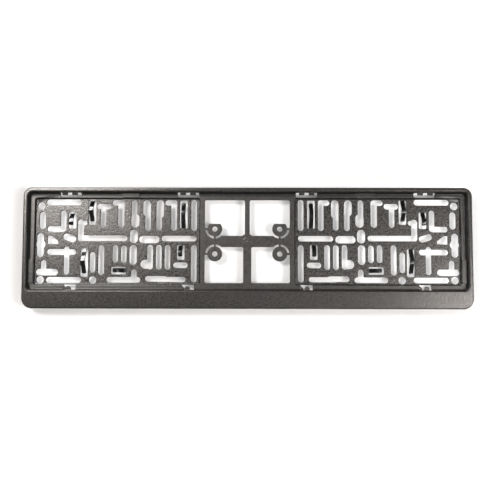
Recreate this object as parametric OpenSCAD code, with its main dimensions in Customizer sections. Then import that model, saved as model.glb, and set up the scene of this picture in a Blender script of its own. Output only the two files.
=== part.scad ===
// Number plate holder for a car: one moulding with a rimmed recess for the plate,
// slotted fields that suit many bumpers, and a raised middle with four snap-off discs.
// It is drawn lying on its back, X along the plate, Y up the plate and Z to the front,
// and then stood up so that its front faces -Y.

/* [Plate] */
// Length of the number plate that the recess takes
plate_w = 520; // [500:1:540]
// Height of the number plate
plate_h = 113; // [110:0.5:120]
// Thickness of the number plate
plate_t = 1.2; // [0.8:0.1:1.6]
// Gap between the plate's edge and the recess, on each side
plate_gap = 0.5; // [0.3:0.1:1]

/* [Border] */
// Width of the rim round the front, along the top and the sides
rim_w = 4.7; // [4.2:0.1:7]
// Height of the plain strip below the plate
strip_h = 21.2; // [16:0.1:30]
// Lean of the wall between the ledge and the rim, in degrees
wall_draft = 15; // [8:1:18]
// Radius of the rim's outer edge
rim_round = 1.8; // [1:0.1:2.2]
// Radius of the rim's inner edge
mouth_round = 1; // [0.4:0.1:1.4]
// Radius of the outline's upper corners
top_corner_r = 10; // [8:0.5:16]
// Radius of the outline's lower corners
bottom_corner_r = 12.5; // [9:0.5:18]
// Radius of the recess corners, on the ledge
recess_corner_r = 3.5; // [2.5:0.5:6]
// Width of the ledge that the plate's edge lies over
ledge_w = 4.5; // [3.5:0.1:6]
// Thickness of the ledge and of the raised middle
ledge_t = 2.5; // [2:0.1:3]
// Thickness of the strip, the rim's wall and the outer skirt
skin_t = 2.1; // [1.6:0.1:2.2]
// Distance between the ribs in the hollow behind the strip
rib_pitch = 38; // [25:1:60]
// Thickness of these ribs
rib_t = 1.4; // [1:0.1:2]

/* [Depths] */
// Depth of the whole holder, from its back to the front of the rim
depth = 14; // [13:0.5:18]
// Height of the ledge's front above the back of the fields
ledge_z = 5.5; // [5:0.1:6.5]
// Distance from the back of the fields to the back edge of the outer skirt
skirt_z = 1.5; // [0:0.1:2]

/* [Slotted fields] */
// Thickness of the slotted fields
field_t = 2.5; // [2:0.1:2.8]
// Lean of the step between the ledge and the fields, in degrees
step_draft = 20; // [5:1:25]
// Thickness of the step's wall, seen from behind
step_t = 2; // [1.5:0.1:2.5]
// Width of most slots
slot_w = 6.8; // [5:0.1:7.2]
// Width of the wider slots
wide_slot_w = 9; // [7.5:0.1:9.6]
// Diameter of the round holes near the ends
end_hole_d = 9.2; // [6:0.1:10]

/* [Spring tongues] */
// Width of a spring tongue
tongue_w = 5.2; // [4:0.1:6]
// Gap beside the tongue in its slot
tongue_gap = 2; // [1.2:0.1:2.2]
// Thickness of a tongue
tongue_t = 1.6; // [1.2:0.1:2]
// Height of its crown above the field
tongue_rise = 7; // [4:0.5:8]

/* [Middle] */
// Distance from a disc's centre to the side of the raised middle
middle_margin = 17.5; // [16.5:0.5:22]
// Width of the two outer uprights of the middle
upright_w = 5.5; // [4:0.1:8]
// Width of the upper centre bar
upper_bar_w = 5.9; // [4:0.1:10]
// Width of the lower centre bar
lower_bar_w = 9.8; // [6:0.1:14]
// Height of the crossbar
crossbar_h = 13.4; // [10:0.2:16]
// Height of the web above and below the windows, inside the ledge
web_h = 2.6; // [1:0.1:6]
// Radius of the window corners
window_r = 2; // [1:0.1:3]
// Radius of the round hub at the crossing
hub_r = 9; // [7.5:0.5:14]

/* [Snap-off discs] */
// Distance between the discs' centres along the plate
disc_pitch_x = 78; // [76:0.5:79]
// Distance between the discs' centres up the plate
disc_pitch_z = 30; // [28:0.5:32]
// Diameter of a disc
disc_d = 18; // [14:0.2:19]
// Diameter of the screw hole in a disc
screw_hole_d = 6.5; // [4:0.1:8]
// Diameter of the collar behind a disc
collar_d = 11; // [9.6:0.2:13]
// Gap round a disc
disc_gap = 2.5; // [1.5:0.1:3]
// Thickness of the arms that hold a disc
disc_arm_w = 2.2; // [1.2:0.1:3]
// Height of the flat top of the upper discs above their centres
disc_flat = 6.2; // [5:0.1:8]

/* [Plate catches] */
// Distance from the middle to the inner catches
catch_inner_x = 71; // [66:0.5:76]
// Distance from the recess's end to the outer catches
catch_end = 48; // [40:0.5:60]
// Width of the opening behind an upper catch
hook_window_w = 25.4; // [22:0.2:28]
// Width of one hook tooth
tooth_w = 6.8; // [5:0.1:8]
// Gap between the two teeth of a catch
tooth_gap = 5; // [3:0.1:6]
// Reach of the teeth over the plate
tooth_reach = 1.4; // [0.8:0.1:2]
// Width of the opening behind a lower lug
lug_window_w = 14.6; // [13:0.2:18]
// Width of a lower lug
lug_w = 6.4; // [4:0.1:8]
// Reach of the lugs over the plate
lug_reach = 2.8; // [1.5:0.1:3.5]
// Thickness of the lugs
lug_t = 2.4; // [1.6:0.1:3]
// Thickness of the hook teeth at the wall
tooth_t = 3.4; // [2.4:0.1:4]
// Width of the gusset at the foot of a lower opening
gusset_w = 3.4; // [2:0.1:4]
// Length of this gusset, up the plate
gusset_h = 4.6; // [3:0.1:5]

/* [Rest pads] */
// Height of the rest pads above the ledge
pad_h = 2; // [1:0.1:2.4]
// Distance from the middle to the upper pads
top_pad_x = 129.5; // [100:0.5:140]
// Length of an upper pad along the plate
top_pad_w = 22.5; // [12:0.5:30]
// Slant of the outer end of an upper pad
top_pad_slant = 3; // [0:0.5:6]
// Length of a side pad up the plate
side_pad_h = 28; // [12:0.5:40]
// Distance from the recess's lower edge to a side pad
side_pad_rise = 7; // [5:0.5:20]

/* [Hidden] */
$fn = 64;
slack = 0.01;
cut = 1;
// How far a tooth, lug or pad runs into the wall that carries it
bite = 0.3;

// Width of the raised middle across its front, and place of the outer catches
middle_w = disc_pitch_x + 2 * middle_margin;
catch_outer_x = plate_w / 2 + plate_gap - catch_end;

// Derived sizes are kept to a hundredth of a millimetre, so that faces of neighbouring
// stretches meet exactly
function hundredth(v) = round(100 * v) / 100;
function run(height, draft) = hundredth(height * tan(draft));

// Recess for the plate, at the ledge
recess_w = hundredth(plate_w / 2 + plate_gap);
recess_h = hundredth(plate_h / 2 + plate_gap);
wall_run = run(depth - ledge_z, wall_draft);
// Outline of the front
outer_w = recess_w + wall_run + rim_w;
outer_top = recess_h + wall_run + rim_w;
outer_bottom = recess_h + wall_run + strip_h;
// Tub: the recess with its wall and ledge round it
ledge_back = ledge_z - ledge_t;
wall_across = hundredth(skin_t / cos(wall_draft));
tub_off = wall_across - run(ledge_t, wall_draft);
tub_r = recess_corner_r + tub_off;
hollow_top = depth - skin_t;
// Slotted fields, at their own level
step_run = run(ledge_z - field_t, step_draft);
field_out = recess_w - ledge_w - step_run;
field_in = hundredth(middle_w / 2 + step_run);
field_top = recess_h - ledge_w - step_run;
field_mid = (field_out + field_in) / 2;
field_half = (field_out - field_in) / 2;
field_r = 1.5;
tongue_slot_r = 1.8;
tongue_slot_half = tongue_w / 2 + tongue_gap;
// The slots are set out in a field of this size: inner side, outer side, half height
DRAWN = [57.59, 254.91, 51.41];
// Back of the teeth and lugs, clear of a plate that lies on the pads
plate_play = 0.5;
hook_z = ledge_z + pad_h + plate_t + plate_play;

function across(x) =
    hundredth(field_in + (x - DRAWN[0]) * (field_out - field_in) / (DRAWN[1] - DRAWN[0]));
function up(y) = hundredth(y * field_top / DRAWN[2]);
function place(p) = [across(p[0]), up(p[1])];
function wall_y(z) = recess_h + run(z - ledge_z, wall_draft);

// Upright slots, in columns from the middle outwards: place, low end, high end, width
UPPER_SLOTS = [
    [64.3, 13, 50.8, slot_w],
    [88.5, 13, 50.5, slot_w],
    [106.5, 13.5, 48, slot_w],
    [105.5, 28, 50.5, wide_slot_w],
    [120, 13, 48, slot_w],
    [121.5, 31, 50.5, wide_slot_w],
    [136.5, 17.5, 50.5, slot_w],
    [135.3, 17, 33.5, wide_slot_w + 1],
    [152.5, 17, 50.5, slot_w + 1],
    [174, 17, 45, slot_w],
    [222, 12, 38, slot_w],
    [247.2, 15, 36, slot_w + 0.8],
];
MIDDLE_SLOTS = [
    [137, -2, 14.5, wide_slot_w + 0.8],
    [201, 1, 27, slot_w + 0.5],
    [249.5, -19, 10, slot_w + 1.6],
];
LOWER_SLOTS = [
    [64.3, -49, -4, slot_w],
    [96, -34, -4, slot_w],
    [106.5, -34, -4, slot_w],
    [117, -33.7, -4, slot_w],
    [137.4, -28, -4, wide_slot_w],
    [136.2, -48, -33.3, slot_w],
    [148.7, -25.8, -4.5, slot_w],
    [159, -25.5, -4, slot_w],
    [175.8, -40.5, -4, slot_w + 0.4],
    [186.2, -37.5, -12.7, slot_w],
    [217.6, -40, -6, slot_w],
    [245.2, -36, -22.5, slot_w],
];
// Level slots: height, inner end, outer end, width
LEVEL_SLOTS = [
    [47, 85, 99, slot_w],
    [47, 149, 163.3, slot_w],
    [42.5, 164.5, 182, slot_w],
    [47.5, 200.5, 243, slot_w + 0.4],
    [15, 219.3, 241.3, slot_w],
    [22.5, 193.3, 205, slot_w - 1],
    [4, 144.7, 204.8, slot_w],
    [2.5, 106, 130.4, wide_slot_w],
    [3.7, 61.1, 103.4, slot_w],
    [-12.7, 206, 241.3, slot_w],
    [-37, 227.6, 254.3, slot_w + 0.9],
    [-27.4, 113.5, 128.5, wide_slot_w + 2],
    [-28.5, 71.7, 88.9, slot_w],
    [-46.4, 199.5, 242, slot_w],
    [-46.2, 128.5, 169.3, slot_w],
    [-45.7, 73.9, 110, slot_w - 0.6],
    [-45, 96, 122.7, slot_w],
];
// Round holes at the ends, and one in the lower row
ROUND_HOLES = [[249, 43], [249, -46.3], [185.8, -46.5]];
// Bulge of the outermost upright slot: place and radius
BULGE = [[249, -3.7], slot_w / 2 + 2.2];
// Slanted slot, from its outer to its inner end, and the three-cornered hole beside it
SLANTED_SLOT = [[218.4, 5.6], [210.3, 3], slot_w + 1];
CORNER_HOLE = [[240.7, -3], [240.7, 7], [236, 7], [228, 0.5], [228, -3]];
// Slots of the long tongues: place, root, free end; a tongue runs from root to tip
LONG_TONGUES = [
    [187, 50.3, 20.5],
    [196.2, -8.8, -42.3],
    [76.7, 15.7, 50],
];
SHORT_TONGUES = [
    [211, 35.8, 15.6],
    [80, -4, -22],
];
// The level tongue: height, root, free end
LEVEL_TONGUE = [-35, 145.6, 164];

// A slab with rounded corners; its children are the section of its side, $reach wide
module slab(w, top, bottom, r_top, r_bottom) {
    for (side = [0, 1])
        mirror([side, 0, 0]) {
            let ($reach = w)
                translate([0, top - r_top, 0])
                    rotate([90, 0, 0])
                        linear_extrude(top - r_top + bottom - r_bottom) children();
            let ($reach = top)
                rotate([90, 0, 90]) linear_extrude(w - r_top) children();
            let ($reach = bottom)
                mirror([0, 1, 0]) rotate([90, 0, 90]) linear_extrude(w - r_bottom) children();
            let ($reach = r_top)
                translate([w - r_top, top - r_top, 0])
                    rotate_extrude(angle = 90) children();
            let ($reach = r_bottom)
                translate([w - r_bottom, r_bottom - bottom, 0])
                    mirror([0, 1, 0]) rotate_extrude(angle = 90) children();
        }
}

// Section of a straight or leaning side, from one height to another
module side_section(low, high, draft = 0) {
    polygon([[0, low], [$reach, low], [$reach + run(high - low, draft), high], [0, high]]);
}

// Section of the outer skirt with its rounded front edge
module skirt_section() {
    translate([0, skirt_z]) square([$reach, depth - rim_round - skirt_z]);
    translate([0, skirt_z]) square([$reach - rim_round, depth - skirt_z]);
    translate([$reach - rim_round, depth - rim_round]) circle(rim_round);
}

// Section of the recess, which opens with a rounded edge at the rim
module recess_section() {
    edge = $reach + wall_run;
    side_section(ledge_z, depth + cut, wall_draft);
    difference() {
        translate([0, depth - mouth_round]) square([edge + mouth_round, mouth_round + cut]);
        translate([edge + mouth_round, depth - mouth_round]) circle(mouth_round);
    }
}

// Ribs that stiffen the hollow behind the strip and the narrow one behind the rim
module ribs() {
    count = floor((outer_w - bottom_corner_r) / rib_pitch);
    for (i = [-count:count])
        translate([(i + 0.5) * rib_pitch - rib_t / 2, -outer_bottom, ledge_back])
            cube([rib_t, outer_bottom - recess_h, depth]);
}

module hollow() {
    inner_w = outer_w - skin_t;
    difference() {
        slab(inner_w, outer_top - skin_t, outer_bottom - skin_t,
             top_corner_r - skin_t, bottom_corner_r - skin_t)
            side_section(-cut, hollow_top);
        slab(recess_w + tub_off, recess_h + tub_off, recess_h + tub_off, tub_r, tub_r)
            side_section(ledge_back, depth, wall_draft);
        ribs();
    }
}

// Rim, strip, skirt and the tub with a closed ledge floor
module border() {
    difference() {
        slab(outer_w, outer_top, outer_bottom, top_corner_r, bottom_corner_r)
            skirt_section();
        hollow();
        slab(recess_w, recess_h, recess_h, recess_corner_r, recess_corner_r)
            recess_section();
    }
}

module field_tray() {
    translate([field_mid, 0, 0])
        slab(field_half + step_t, field_top + step_t, field_top + step_t,
             field_r + step_t, field_r + step_t)
            side_section(0, ledge_z);
}

module field_pocket() {
    translate([field_mid, 0, 0])
        slab(field_half, field_top, field_top, field_r, field_r)
            side_section(field_t, ledge_z + cut, step_draft);
}

// A slot with round ends between two points
module slot(a, b, w) {
    way = b - a;
    length = norm(way);
    translate(a) rotate(atan2(way[1], way[0])) {
        translate([0, -w / 2]) square([length, w]);
        circle(w / 2);
        translate([length, 0]) circle(w / 2);
    }
}

module upright_slot(s) {
    slot([across(s[0]), up(s[1]) + s[3] / 2], [across(s[0]), up(s[2]) - s[3] / 2], s[3]);
}

module level_slot(s) {
    slot([across(s[1]) + s[3] / 2, up(s[0])], [across(s[2]) - s[3] / 2, up(s[0])], s[3]);
}

module rounded_rect(low, high, r) {
    translate([low[0] + r, low[1]]) square([high[0] - low[0] - 2 * r, high[1] - low[1]]);
    translate([low[0], low[1] + r]) square([high[0] - low[0], high[1] - low[1] - 2 * r]);
    for (x = [low[0] + r, high[0] - r], y = [low[1] + r, high[1] - r])
        translate([x, y]) circle(r);
}

// Opening round an upright tongue
module tongue_slot(t) {
    rounded_rect([across(t[0]) - tongue_slot_half, up(min(t[1], t[2]))],
                 [across(t[0]) + tongue_slot_half, up(max(t[1], t[2]))], tongue_slot_r);
}

module level_tongue_slot(t) {
    rounded_rect([across(t[1]), up(t[0]) - tongue_slot_half],
                 [across(t[2]), up(t[0]) + tongue_slot_half], tongue_slot_r);
}

module field_slots() {
    for (s = concat(UPPER_SLOTS, MIDDLE_SLOTS, LOWER_SLOTS)) upright_slot(s);
    for (s = LEVEL_SLOTS) level_slot(s);
    for (p = ROUND_HOLES) translate(place(p)) circle(end_hole_d / 2);
    translate(place(BULGE[0])) circle(BULGE[1]);
    slot(place(SLANTED_SLOT[0]), place(SLANTED_SLOT[1]), SLANTED_SLOT[2]);
    polygon([for (p = CORNER_HOLE) place(p)]);
    for (t = concat(LONG_TONGUES, SHORT_TONGUES)) tongue_slot(t);
    level_tongue_slot(LEVEL_TONGUE);
}

// Windows of the middle, without the discs and the arms that hold them
module middle_windows() {
    out = middle_w / 2 - upright_w;
    high = recess_h - ledge_w - web_h;
    disc = [disc_pitch_x / 2, disc_pitch_z / 2];
    for (side = [0, 1])
        mirror([side, 0])
            difference() {
                union() {
                    rounded_rect([upper_bar_w / 2, crossbar_h / 2], [out, high], window_r);
                    rounded_rect([lower_bar_w / 2, -high], [out, -crossbar_h / 2], window_r);
                    for (level = [0, 1])
                        mirror([0, level])
                            translate(disc) circle(disc_d / 2 + disc_gap);
                }
                circle(hub_r);
                for (level = [0, 1])
                    mirror([0, level]) {
                        difference() {
                            translate([disc[0], 0]) square([out - disc[0] + slack, disc[1]]);
                            translate(disc) circle(disc_d / 2 + disc_gap);
                        }
                        // The disc; an upper one has a flat top
                        difference() {
                            translate(disc) circle(disc_d / 2);
                            translate([disc[0] - disc_d, disc[1] + disc_flat + level * disc_d])
                                square([2 * disc_d, disc_d]);
                        }
                        translate([disc[0], disc[1] - disc_arm_w / 2])
                            square([out - disc[0] + slack, disc_arm_w]);
                        translate([disc[0] - disc_arm_w / 2, 0]) square([disc_arm_w, disc[1]]);
                    }
            }
}

module disc_places() {
    for (x = [-1, 1], y = [-1, 1])
        translate([x * disc_pitch_x / 2, y * disc_pitch_z / 2, 0]) children();
}

// Collars behind the discs, level with the back of the fields
module collars() {
    disc_places() cylinder(d = collar_d, h = ledge_back + slack);
}

module screw_holes() {
    disc_places() translate([0, 0, -cut]) cylinder(d = screw_hole_d, h = ledge_z + 2 * cut);
}

// Profile of a tongue, from its root: it rises, crowns and comes back
function rise(s, wave) = s <= 0 ? 0 : tongue_rise / 2 * (1 - cos(360 * s / wave));
function lean(s, wave) =
    s <= 0 ? 0 : atan(tongue_rise * PI / wave * sin(360 * s / wave));

module tongue(length, wave) {
    steps = 18;
    // The root runs back into the field, and the tip has round corners
    root = -1;
    tip = 1.5;
    places = [for (i = [0:steps]) i * length / steps];
    low = [for (s = places) [s, field_t - tongue_t + rise(s, wave)]];
    high = [for (i = [steps:-1:0])
        low[i] + tongue_t * [-sin(lean(places[i], wave)), cos(lean(places[i], wave))]];
    intersection() {
        translate([0, tongue_w / 2, 0])
            rotate([90, 0, 0])
                linear_extrude(tongue_w)
                    polygon(concat([[root, field_t - tongue_t]], low, high, [[root, field_t]]));
        linear_extrude(depth) {
            translate([root - cut, -tongue_w / 2])
                square([length - tip - root + cut, tongue_w]);
            translate([root - cut, -tongue_w / 2 + tip])
                square([length - root + cut, tongue_w - 2 * tip]);
            for (side = [-1, 1])
                translate([length - tip, side * (tongue_w / 2 - tip)]) circle(tip);
        }
    }
}

module tongues() {
    // Room between a tip and the end of its slot
    end_gap = 3.6;
    for (t = LONG_TONGUES) {
        length = abs(up(t[1]) - up(t[2])) - end_gap;
        translate([across(t[0]), up(t[1]), 0])
            rotate(t[1] > t[2] ? -90 : 90) tongue(length, length);
    }
    for (t = SHORT_TONGUES) {
        length = abs(up(t[1]) - up(t[2])) - end_gap;
        translate([across(t[0]), up(t[1]), 0]) rotate(-90) tongue(length, 1.5 * length);
    }
    length = across(LEVEL_TONGUE[2]) - across(LEVEL_TONGUE[1]) - end_gap;
    translate([across(LEVEL_TONGUE[1]), up(LEVEL_TONGUE[0]), 0]) tongue(length, 1.5 * length);
}

// Opening that clears the space behind an upper catch
module hook_window(x) {
    r = 2.2;
    low = recess_h - ledge_w + 0.4;
    high = wall_y(hook_z) + wall_across + slack;
    half = hook_window_w / 2;
    translate([x, 0, -cut])
        linear_extrude(hook_z + cut) {
            translate([-half, low + r]) square([hook_window_w, high - low - r]);
            translate([-half + r, low]) square([hook_window_w - 2 * r, r + slack]);
            for (side = [-1, 1]) translate([side * (half - r), low + r]) circle(r);
        }
}

// A tooth over the plate's upper edge, with a slanted front that lets the plate in
module hook_tooth(x) {
    tip = plate_h / 2 - tooth_reach;
    root = wall_y(hook_z + tooth_t) + bite;
    nose_t = 1;
    translate([x - tooth_w / 2, 0, 0])
        rotate([90, 0, 90])
            linear_extrude(tooth_w)
                polygon([
                    [tip, hook_z],
                    [root, hook_z],
                    [root, hook_z + tooth_t],
                    [tip, hook_z + nose_t],
                ]);
}

// Opening behind a lower lug; it runs a little past the ledge's inner edge
module lug_window(x) {
    low = recess_h - ledge_w - 0.5;
    high = wall_y(hook_z) + wall_across + slack;
    translate([x - lug_window_w / 2, -high, -cut]) cube([lug_window_w, high - low, hook_z + cut]);
}

// A round-nosed lug over the plate's lower edge
module lug(x) {
    tip = plate_h / 2 - lug_reach;
    root = wall_y(hook_z + lug_t) + bite;
    translate([x, 0, hook_z])
        linear_extrude(lug_t) {
            translate([0, -(tip + lug_w / 2)]) circle(lug_w / 2);
            translate([-lug_w / 2, -root]) square([lug_w, root - tip - lug_w / 2]);
        }
}

// Gusset in the left lower corner of a lower opening
module lug_gusset(x) {
    top_w = 1;
    side_h = 1.6;
    foot = wall_y(ledge_z) + wall_across / 2;
    translate([x - lug_window_w / 2 - slack, -foot, ledge_back])
        linear_extrude(pad_h + ledge_t / 2)
            polygon([[0, 0], [gusset_w, 0], [gusset_w, side_h], [top_w, gusset_h], [0, gusset_h]]);
}

// Pads on the ledge that the plate is pressed against
module ledge_pads() {
    inside = ledge_w - 0.2;
    outside = run(pad_h, wall_draft) + bite;
    low = recess_h - inside;
    high = recess_h + outside;
    translate([0, 0, ledge_z - slack])
        linear_extrude(pad_h + slack) {
            polygon([
                [top_pad_x, low],
                [top_pad_x, high],
                [top_pad_x + top_pad_w, high],
                [top_pad_x + top_pad_w - top_pad_slant, low],
            ]);
            translate([recess_w - inside, side_pad_rise - recess_h])
                square([inside + outside, side_pad_h]);
        }
}

// Low round boss with a small gate mark, at the crossing of the bars
module hub_boss() {
    boss_d = 10;
    gate_d = 1.8;
    translate([0, 0, ledge_z - slack]) {
        cylinder(d = boss_d, h = 0.6);
        cylinder(d = gate_d, h = 1.1);
    }
}

module holder() {
    catches = [catch_inner_x, catch_outer_x];
    color([0.33, 0.32, 0.31])
        rotate([90, 0, 0]) {
            difference() {
                union() {
                    border();
                    for (side = [0, 1]) mirror([side, 0, 0]) field_tray();
                    collars();
                }
                for (side = [0, 1])
                    mirror([side, 0, 0]) {
                        field_pocket();
                        translate([0, 0, -cut]) linear_extrude(field_t + 2 * cut) field_slots();
                        for (x = catches) hook_window(x);
                    }
                translate([0, 0, -cut]) linear_extrude(ledge_z + 2 * cut) middle_windows();
                screw_holes();
                for (x = concat(catches, -catches)) lug_window(x);
            }
            for (side = [0, 1])
                mirror([side, 0, 0]) {
                    tongues();
                    ledge_pads();
                    for (x = catches, tooth = [-1, 1])
                        hook_tooth(x + tooth * (tooth_w + tooth_gap) / 2);
                }
            for (x = concat(catches, -catches)) {
                lug(x);
                lug_gusset(x);
            }
            hub_boss();
        }
}

holder();
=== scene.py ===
"""Number plate holder: the finish of its one moulding, the backing sheet, the light and the camera."""
import math

import bmesh
import bpy
from mathutils import Euler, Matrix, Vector


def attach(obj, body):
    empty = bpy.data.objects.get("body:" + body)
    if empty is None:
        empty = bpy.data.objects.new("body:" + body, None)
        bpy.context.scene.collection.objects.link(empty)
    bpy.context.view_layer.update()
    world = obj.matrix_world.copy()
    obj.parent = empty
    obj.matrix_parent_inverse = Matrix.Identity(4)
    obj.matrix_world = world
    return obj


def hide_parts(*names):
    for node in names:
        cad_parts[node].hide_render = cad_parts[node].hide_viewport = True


MM = 0.001

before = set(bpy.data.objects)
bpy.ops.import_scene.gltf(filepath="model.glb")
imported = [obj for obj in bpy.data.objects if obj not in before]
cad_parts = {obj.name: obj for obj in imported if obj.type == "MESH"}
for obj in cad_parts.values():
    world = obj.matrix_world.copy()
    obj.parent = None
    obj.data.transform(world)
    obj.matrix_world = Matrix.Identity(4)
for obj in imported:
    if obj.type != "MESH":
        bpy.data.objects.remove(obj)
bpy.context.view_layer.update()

# Levels of the moulding, as distances in front of its back
FIELD_FRONT = 2.5 * MM
LEDGE_FRONT = 5.5 * MM
RIM_FRONT = 14 * MM

# Spring tongues on the right half, in millimetres: centre across, low end and high end of the slot
TONGUE_W = 5.2
TONGUE_MARGIN = 0.4
UPRIGHT_TONGUES = [
    (187, 20.5, 50.3),
    (196.2, -42.3, -8.8),
    (76.7, 15.7, 50),
    (211, 15.6, 35.8),
    (80, -22, -4),
]
# The level tongue: height, inner end, outer end
LEVEL_TONGUE = (-35, 145.6, 164)

# Heights where painted shade darkens the plastic: from the low side of the upper ledge up, where the rim
# shades it, and along the strip's lowest band
LEDGE_SHADE = (53.5 * MM, 55.5 * MM)
FOOT_SHADE = (-76.8 * MM, -79.8 * MM)

# Rounding of the edges that the mould leaves; the rim's edges lie in front of RIM_EDGES
EDGE_ROUND = 0.32 * MM
RIM_ROUND = 0.7 * MM
RIM_EDGES = RIM_FRONT - 0.05 * MM
ROUND_STEPS = 2
SHARP_ANGLE = math.radians(30)
FLAT_ANGLE = math.radians(0.1)
SHADING_ANGLE = math.radians(50)
MERGE = 0.002 * MM

# Numbers of the three finishes on the moulding
GRAINED, POLISHED, SMOOTH = 0, 1, 2

# The white sheet lies this far behind the holder's back
SHEET_GAP = 8 * MM


def is_tongue(point):
    """Whether a point in the front view lies on a tongue and not on the wall of its slot."""
    x, z = abs(point.x) / MM, point.z / MM
    half = TONGUE_W / 2 + TONGUE_MARGIN
    for centre, low, high in UPRIGHT_TONGUES:
        if abs(x - centre) < half and low + TONGUE_MARGIN < z < high - TONGUE_MARGIN:
            return True
    height, inner, outer = LEVEL_TONGUE
    return abs(z - height) < half and inner + TONGUE_MARGIN < x < outer - TONGUE_MARGIN


class Shading:
    """A material's nodes, made one after the other."""

    def __init__(self, name):
        self.material = bpy.data.materials.new(name)
        self.material.use_nodes = True
        self.nodes = self.material.node_tree.nodes
        self.links = self.material.node_tree.links
        self.nodes.clear()

    def add(self, kind, settings=None, **inputs):
        node = self.nodes.new(kind)
        for key, value in (settings or {}).items():
            setattr(node, key, value)
        for key, value in inputs.items():
            self.join(node, key.replace("_", " "), value)
        return node

    def join(self, node, socket, value):
        target = node.inputs[int(socket)] if socket.isdigit() else node.inputs[socket]
        if isinstance(value, bpy.types.NodeSocket):
            self.links.new(value, target)
        else:
            target.default_value = value

    def math(self, operation, first, second=0.0):
        node = self.nodes.new("ShaderNodeMath")
        node.operation = operation
        self.join(node, "0", first)
        self.join(node, "1", second)
        return node.outputs[0]

    def noise(self, place, scale, detail, roughness):
        node = self.add("ShaderNodeTexNoise", Vector=place, Scale=scale, Detail=detail, Roughness=roughness)
        return node.outputs["Fac"]

    def mix_colors(self, share, first, second):
        node = self.add("ShaderNodeMixRGB", Fac=share, Color1=first, Color2=second)
        return node.outputs["Color"]

    def mix_shaders(self, share, first, second):
        node = self.nodes.new("ShaderNodeMixShader")
        self.links.new(share, node.inputs["Fac"])
        self.links.new(first, node.inputs[1])
        self.links.new(second, node.inputs[2])
        return node.outputs["Shader"]

    def ramp(self, value, low, high, start, end):
        node = self.add("ShaderNodeMapRange", Value=value)
        for key, number in (("From Min", low), ("From Max", high), ("To Min", start), ("To Max", end)):
            node.inputs[key].default_value = number
        return node.outputs["Result"]

    def principled(self, color, roughness, specular):
        node = self.add("ShaderNodeBsdfPrincipled", Base_Color=color, Roughness=roughness)
        node.inputs["Specular IOR Level"].default_value = specular
        return node

    def finish(self, shader):
        output = self.nodes.new("ShaderNodeOutputMaterial")
        self.links.new(shader, output.inputs["Surface"])
        return self.material


def wall_finish_and_painted_shade(s, normal, across, height, depth):
    """How far the plastic takes the smooth wall finish and painted shade: a real smooth finish on walls,
    with painted shade where they do not face up; painted shade on the ledge that the rim shades and along
    the strip's lowest band.
    """
    facing = s.add("ShaderNodeSeparateXYZ", Vector=normal)
    # Walls: a smooth finish of their own, with painted shade, less on walls that face up
    wall = s.math(
        "MULTIPLY",
        s.ramp(s.math("ABSOLUTE", facing.outputs["Y"]), 0.75, 0.35, 0.0, 1.0),
        s.ramp(facing.outputs["Z"], 0.3, 0.9, 1.0, 0.25),
    )
    on_ledge = s.math(
        "MULTIPLY",
        s.ramp(depth, LEDGE_FRONT - 1 * MM, LEDGE_FRONT - 0.3 * MM, 0.0, 1.0),
        s.ramp(depth, LEDGE_FRONT + 1.5 * MM, LEDGE_FRONT + 3 * MM, 1.0, 0.0),
    )
    # Painted shade on the upper ledge, under the rim
    ledge_painted_shade = s.math("MULTIPLY", on_ledge, s.ramp(height, *LEDGE_SHADE, 0.0, 0.85))
    # Painted shade along the strip's lowest band, strongest at the left
    foot = s.math(
        "MULTIPLY",
        s.ramp(height, *FOOT_SHADE, 0.0, 0.55),
        s.ramp(across, -0.05, 0.2, 1.0, 0.25),
    )
    return s.math("MAXIMUM", wall, s.math("MAXIMUM", ledge_painted_shade, foot))


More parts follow.
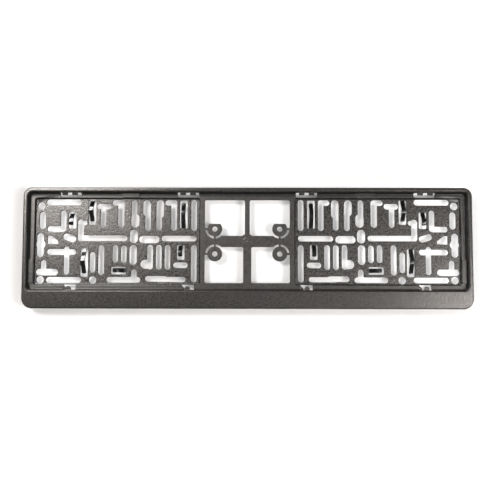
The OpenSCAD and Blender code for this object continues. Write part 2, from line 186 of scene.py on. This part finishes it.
def grained_plastic():
    """Dark warm grey plastic: spark-eroded grain on the faces, coarser on the fields, faint on the walls;
    painted shade darkens the walls, the ledge under the rim and the strip's lowest band.
    """
    s = Shading("grained_plastic")
    coordinates = s.nodes.new("ShaderNodeTexCoord")
    place = coordinates.outputs["Object"]
    split = s.add("ShaderNodeSeparateXYZ", Vector=place)
    depth = s.math("MULTIPLY", split.outputs["Y"], -1.0)
    fields = s.ramp(depth, LEDGE_FRONT, FIELD_FRONT + 1 * MM, 0.0, 1.0)
    rim = s.ramp(depth, RIM_FRONT - 1 * MM, RIM_FRONT - 0.4 * MM, 0.0, 1.0)
    # Share of the smooth wall finish and of painted shade
    smooth_finish_and_shade_share = wall_finish_and_painted_shade(s, coordinates.outputs["Normal"], split.outputs["X"], split.outputs["Z"], depth)

    coarse = s.noise(place, 430, 2.0, 0.55)
    fine = s.noise(place, 1100, 2.0, 0.55)
    cloud = s.noise(place, 9, 2.0, 0.5)
    grain = s.math("ADD", s.math("MULTIPLY", coarse, 0.6), s.math("MULTIPLY", fine, 0.4))

    spread = s.math("MULTIPLY", s.ramp(grain, 0.38, 0.62, -0.5, 0.5), s.ramp(fields, 0.0, 1.0, 1.0, 2.0))
    speckle = s.math("ADD", spread, 0.5)
    tone = s.mix_colors(speckle, (0.013, 0.0119, 0.0114, 1), (0.041, 0.0378, 0.0360, 1))
    clouded = s.add("ShaderNodeMixRGB", {"blend_type": "MULTIPLY"}, Fac=1.0, Color1=tone)
    s.links.new(s.ramp(cloud, 0.3, 0.7, 0.9, 1.08), clouded.inputs["Color2"])

    swing = s.math("MULTIPLY", s.ramp(grain, 0.38, 0.62, -1.0, 1.0), s.ramp(fields, 0.0, 1.0, 0.02, 0.1))
    rough = s.math("ADD", s.ramp(fields, 0.0, 1.0, 0.35, 0.29), swing)
    rough = s.math("ADD", rough, s.math("MULTIPLY", rim, -0.1))
    strength = s.math("MULTIPLY", s.ramp(fields, 0.0, 1.0, 0.55, 1.0), s.ramp(smooth_finish_and_shade_share, 0.0, 1.0, 1.0, 0.15))
    bump = s.add("ShaderNodeBump", Height=grain, Distance=0.35 * MM, Strength=strength)

    plastic = s.principled(clouded.outputs["Color"], rough, 0.5)
    plastic.inputs["Specular Tint"].default_value = (1, 0.958, 0.925, 1)
    s.links.new(bump.outputs["Normal"], plastic.inputs["Normal"])
    # Near-black smooth plastic: the walls' own finish, and also the painted shade
    smooth_finish_and_shade_plastic = s.principled((0.012, 0.0117, 0.0115, 1), 0.45, 0.15)
    return s.finish(s.mix_shaders(smooth_finish_and_shade_share, plastic.outputs["BSDF"], smooth_finish_and_shade_plastic.outputs["BSDF"]))


def smooth_edge_and_slot_shade():
    """The same plastic on the rounded edges, where the grain runs out; painted shade makes those round the
    fields' slots darker.
    """
    s = Shading("smooth_edge_and_slot_shade")
    place = s.nodes.new("ShaderNodeTexCoord").outputs["Object"]
    depth = s.math("MULTIPLY", s.add("ShaderNodeSeparateXYZ", Vector=place).outputs["Y"], -1.0)
    fields = s.ramp(depth, LEDGE_FRONT, FIELD_FRONT + 0.5 * MM, 0.0, 1.0)
    wear = s.noise(place, 140, 3.0, 0.6)
    worn = s.ramp(wear, 0.35, 0.65, 0.0, 1.0)
    tone = s.mix_colors(worn, (0.030, 0.0285, 0.026, 1), (0.052, 0.049, 0.045, 1))
    # Painted shade: near-black on the rounded edges at the fields' level, round the slots
    edge_tone_and_slot_shade = s.mix_colors(fields, tone, (0.008, 0.008, 0.008, 1))
    plastic = s.principled(edge_tone_and_slot_shade, s.ramp(wear, 0.3, 0.7, 0.2, 0.3), 0.6)
    return s.finish(plastic.outputs["BSDF"])


def polished_plastic():
    """The same plastic where the mould is polished: the spring tongues."""
    s = Shading("polished_plastic")
    place = s.nodes.new("ShaderNodeTexCoord").outputs["Object"]
    drag = s.noise(place, 260, 2.0, 0.5)
    plastic = s.principled((0.004, 0.004, 0.004, 1), s.ramp(drag, 0.3, 0.7, 0.13, 0.19), 0.6)
    return s.finish(plastic.outputs["BSDF"])


def rounded_moulding(source, finishes):
    """The holder's own form with its edges rounded as a mould leaves them."""
    mesh = source.data.copy()
    bm = bmesh.new()
    bm.from_mesh(mesh)
    bmesh.ops.remove_doubles(bm, verts=bm.verts, dist=MERGE)
    flat = [
        e for e in bm.edges
        if len(e.link_faces) == 2 and e.calc_face_angle(1) < FLAT_ANGLE
    ]
    bmesh.ops.beautify_fill(bm, faces=bm.faces, edges=flat, use_restrict_tag=False, method="ANGLE")
    for radius, low, high in ((RIM_ROUND, RIM_EDGES, math.inf), (EDGE_ROUND, -math.inf, RIM_EDGES)):
        sharp = [
            e for e in bm.edges
            if len(e.link_faces) == 2 and e.calc_face_angle(0) > SHARP_ANGLE
            and all(low < -v.co.y < high for v in e.verts)
        ]
        rounded = bmesh.ops.bevel(
            bm, geom=sharp, offset=radius, offset_type="OFFSET", segments=ROUND_STEPS, profile=0.5,
            affect="EDGES", clamp_overlap=False, material=-1,
        )
        for face in rounded["faces"]:
            face.material_index = SMOOTH
    for face in bm.faces:
        face.smooth = True
        if is_tongue(face.calc_center_median()):
            face.material_index = POLISHED
    # The finishes come before the faces, because clearing them resets the numbers that faces carry
    mesh.materials.clear()
    for finish in finishes:
        mesh.materials.append(finish)
    bm.to_mesh(mesh)
    bm.free()
    mesh.set_sharp_from_angle(angle=SHADING_ANGLE)
    piece = bpy.data.objects.new("moulding", mesh)
    bpy.context.scene.collection.objects.link(piece)
    normals = piece.modifiers.new("even_normals", "WEIGHTED_NORMAL")
    normals.keep_sharp = True
    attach(piece, "root")
    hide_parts("holder")


def sheet_of_paper():
    """White sheet: it keeps the holder's soft shadow, and lets view and light through from behind."""
    s = Shading("white_paper_with_painted_light")
    path = s.nodes.new("ShaderNodeLightPath")
    back_side = s.nodes.new("ShaderNodeNewGeometry").outputs["Backfacing"]
    spot = s.add("ShaderNodeSeparateXYZ", Vector=s.nodes.new("ShaderNodeTexCoord").outputs["Object"])
    across, height = spot.outputs["X"], spot.outputs["Z"]
    behind_holder = s.math(
        "MULTIPLY",
        s.ramp(s.math("ABSOLUTE", across), 0.275, 0.262, 0.0, 1.0),
        s.ramp(s.math("ABSOLUTE", height), 0.078, 0.068, 0.0, 1.0),
    )
    # Behind the upper catches the ledge keeps the light off a strip of the sheet
    strip = s.math(
        "MULTIPLY",
        s.ramp(height, 0.0525, 0.0545, 0.0, 1.0),
        s.ramp(height, 0.0575, 0.059, 1.0, 0.0),
    )
    strip = s.math("MULTIPLY", strip, behind_holder)
    white = s.mix_colors(strip, (0.72, 0.71, 0.708, 1), (0.4, 0.38, 0.38, 1))
    paper = s.add("ShaderNodeBsdfDiffuse", Color=white)

    # Faint light that the sheet gives off for what looks at it, with painted light: most behind both end
    # parts of the holder
    painted_light_at_ends = s.math("ADD", s.ramp(across, 0.05, 0.2, 0.0, 0.18), s.ramp(across, -0.165, -0.225, 0.0, 0.25))
    # Painted light: the open sheet grows brighter towards the right
    even_glow_and_right_light_pool = s.ramp(across, 0.2, 0.28, 0.07, 0.22)
    glow_with_painted_light = s.math("ADD", s.math("MULTIPLY", behind_holder, s.math("ADD", painted_light_at_ends, 0.17)), even_glow_and_right_light_pool)
    glow_with_painted_light = s.math("MULTIPLY", glow_with_painted_light, s.ramp(strip, 0.0, 1.0, 1.0, 0.4))
    seen = s.math("MAXIMUM", path.outputs["Is Camera Ray"], path.outputs["Is Glossy Ray"])
    seen = s.math("MAXIMUM", seen, path.outputs["Is Transmission Ray"])
    glow = s.add("ShaderNodeEmission", Color=(1, 1, 1, 1), Strength=s.math("MULTIPLY", seen, glow_with_painted_light))

    front_side = s.nodes.new("ShaderNodeAddShader")
    s.links.new(paper.outputs["BSDF"], front_side.inputs[0])
    s.links.new(glow.outputs["Emission"], front_side.inputs[1])
    clear = s.nodes.new("ShaderNodeBsdfTransparent")
    let_through = s.math("MAXIMUM", back_side, path.outputs["Is Shadow Ray"])
    return s.finish(s.mix_shaders(let_through, front_side.outputs["Shader"], clear.outputs["BSDF"]))


def staged_plane(name, corners, material):
    bm = bmesh.new()
    bm.faces.new([bm.verts.new(c) for c in corners])
    mesh = bpy.data.meshes.new(name)
    bm.to_mesh(mesh)
    bm.free()
    mesh.materials.append(material)
    backdrop = bpy.data.objects.new(name, mesh)
    bpy.context.scene.collection.objects.link(backdrop)
    return backdrop


def stage():
    """A white sheet just behind the holder, and a pale floor below it."""
    half, top, low = 1.6, 1.2, -0.42
    staged_plane(
        "backing_sheet",
        [(-half, SHEET_GAP, low), (half, SHEET_GAP, low), (half, SHEET_GAP, top), (-half, SHEET_GAP, top)],
        sheet_of_paper(),
    )
    s = Shading("pale_floor")
    pale = s.add("ShaderNodeBsdfDiffuse", Color=(0.8, 0.8, 0.79, 1))
    floor = staged_plane(
        "floor",
        [(-half, -half, low), (half, -half, low), (half, half, low), (-half, half, low)],
        s.finish(pale.outputs["BSDF"]),
    )
    floor.visible_glossy = False


def soft_light(name, place, target, size, power, color=(1, 1, 1)):
    data = bpy.data.lights.new(name, "AREA")
    data.shape = "RECTANGLE"
    data.size, data.size_y = size
    data.energy = power
    data.color = color
    lamp = bpy.data.objects.new(name, data)
    lamp.location = place
    lamp.rotation_euler = (Vector(target) - Vector(place)).to_track_quat("-Z", "Y").to_euler()
    bpy.context.scene.collection.objects.link(lamp)
    return lamp


def lights():
    """Two soft lights from the front, faint ones for the rest of a pale room, and an even world."""
    world = bpy.data.worlds.new("studio")
    bpy.context.scene.world = world
    world.use_nodes = True
    background = world.node_tree.nodes["Background"]
    background.inputs["Color"].default_value = (1, 1, 1, 1)
    background.inputs["Strength"].default_value = 0.17
    soft_light("upper_left", (-0.56, -1.1, 0.36), (-0.1, 0, 0), (0.3, 0.3), 11, (1, 0.985, 0.965))
    soft_light("lower_right", (0.8, -1.1, -0.2), (0.1, 0, 0), (0.5, 0.24), 11, (1, 0.985, 0.97))
    # Faint wide light from almost straight ahead, as from a pale room
    soft_light("room", (0.38, -1.1, -0.08), (0.1, 0, 0), (0.9, 0.3), 0.75)
    # Behind the sheet, which lets it through: it only lights the holder's back
    soft_light("rear", (-0.75, 0.9, 0.3), (0, 0, 0), (0.7, 0.5), 16)
    # Panels that only show as reflections: on the upper left, on the tongues,
    # and on the edges that face up or down
    panels = [
        soft_light("left_panel", (-0.74, -1.1, 0.48), (-0.2, 0, 0.05), (0.3, 0.35), 4.6),
        soft_light("overhead", (-0.43, -0.64, 0.76), (-0.19, 0, 0), (0.35, 0.55), 13),
        soft_light("low_panel", (0.42, -0.78, -0.4), (0.42, -0.78, 0), (0.35, 0.45), 4.5),
    ]
    for panel in panels:
        panel.visible_diffuse = False


def camera():
    """The photograph's view: nearly straight on, from a little below the middle."""
    data = bpy.data.cameras.new("camera")
    data.sensor_width = 36
    data.lens = 48.09
    view = bpy.data.objects.new("camera", data)
    view.location = (8.4 * MM, -803.5 * MM, -64.5 * MM)
    pitch, yaw, roll = math.radians(3.886), math.radians(-0.364), math.radians(0.123)
    view.rotation_euler = (
        Euler((0, 0, -yaw)).to_matrix() @ Euler((math.pi / 2 + pitch, 0, 0)).to_matrix()
        @ Euler((0, 0, roll)).to_matrix()
    ).to_euler()
    bpy.context.scene.collection.objects.link(view)
    bpy.context.scene.camera = view


finishes = {GRAINED: grained_plastic(), POLISHED: polished_plastic(), SMOOTH: smooth_edge_and_slot_shade()}
rounded_moulding(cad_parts["holder"], [finishes[number] for number in sorted(finishes)])
stage()
lights()
camera()
bpy.context.scene.view_settings.view_transform = "Standard"
